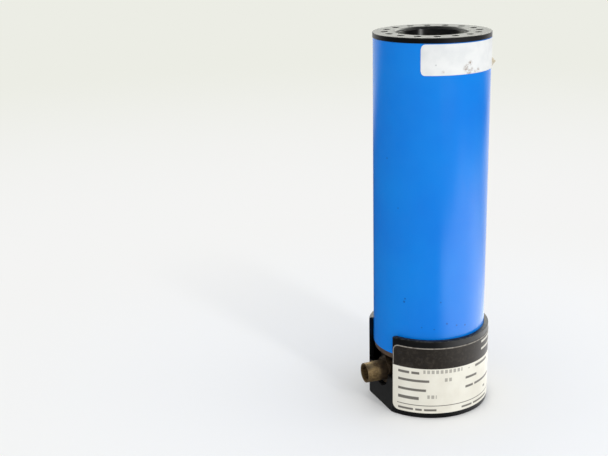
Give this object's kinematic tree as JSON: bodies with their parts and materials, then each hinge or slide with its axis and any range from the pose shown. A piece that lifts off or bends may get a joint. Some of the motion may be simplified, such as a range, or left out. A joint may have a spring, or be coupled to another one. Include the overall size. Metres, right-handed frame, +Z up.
{
  "type": "electrodeless discharge lamp",
  "caption": "Upright line-source lamp: a painted metal tube in a moulded base with a side coaxial connector, and a vented front ring round the light tube.",
  "frame": {"origin": "centre of the base's underside, where the lamp stands", "axes": "+Z up the tube's axis, the way the light leaves; the coaxial connector points along -X, and +Y is set by the right-hand rule"},
  "size_m": [0.0603, 0.055, 0.1699],
  "materials": {
    "base_plastic": "satin black moulding",
    "ring_plastic": "polished black moulding",
    "black_tube": "gloss black",
    "tube_paint": "satin blue paint",
    "label_film": "satin printed film",
    "tube_film": "satin white film",
    "phenolic": "plain moulded resin",
    "brass_dull": "tarnished",
    "bracket_metal": "plain sheet",
    "screw_steel": "plated",
    "screw_black": "black",
    "spacer_metal": "nickel plated",
    "copper": "bright drawn wire",
    "tinned_wire": "tinned",
    "former_ceramic": "unglazed",
    "capacitor_ceramic": "glazed",
    "fibre": "felted ceramic fibre",
    "quartz": "clear",
    "element": "condensed metal",
    "board": "bare laminate",
    "white_resin": "plain",
    "seal": "plain"
  },
  "bodies": {
    "root": {"base_housing": "base_plastic", "base_screws": "screw_black", "data_label": "label_film", "outer_tube": "tube_paint", "tube_screws": "screw_steel", "tube_label": "tube_film", "front_ring": "ring_plastic", "light_tube": "black_tube", "end_plate": "phenolic", "connector_bracket": "bracket_metal", "bracket_screws": "screw_steel", "connector_shell": "brass_dull", "connector_nut": "brass_dull", "lock_washer": "screw_steel", "connector_insulator": "white_resin", "centre_contact": "brass_dull", "rf_lead": "tinned_wire", "rf_coil": "copper", "coil_lead_1": "copper", "coil_lead_2": "copper", "matching_board": "board", "series_capacitor": "capacitor_ceramic", "parallel_capacitor": "capacitor_ceramic", "coil_former": "former_ceramic", "coil_base": "former_ceramic", "bulb_socket": "former_ceramic", "insulation_sleeve": "fibre", "bulb": "quartz", "element_charge": "element", "window_cell": "white_resin", "lower_gasket": "seal", "upper_gasket": "seal", "window": "quartz", "post_screws_low": "screw_steel", "post_screws_high": "screw_steel", "lower_post_1": "spacer_metal", "lower_post_2": "spacer_metal", "lower_post_3": "spacer_metal", "lower_post_4": "spacer_metal", "upper_post_1": "spacer_metal", "upper_post_2": "spacer_metal", "upper_post_3": "spacer_metal", "upper_post_4": "spacer_metal"}
  },
  "joints": []
}
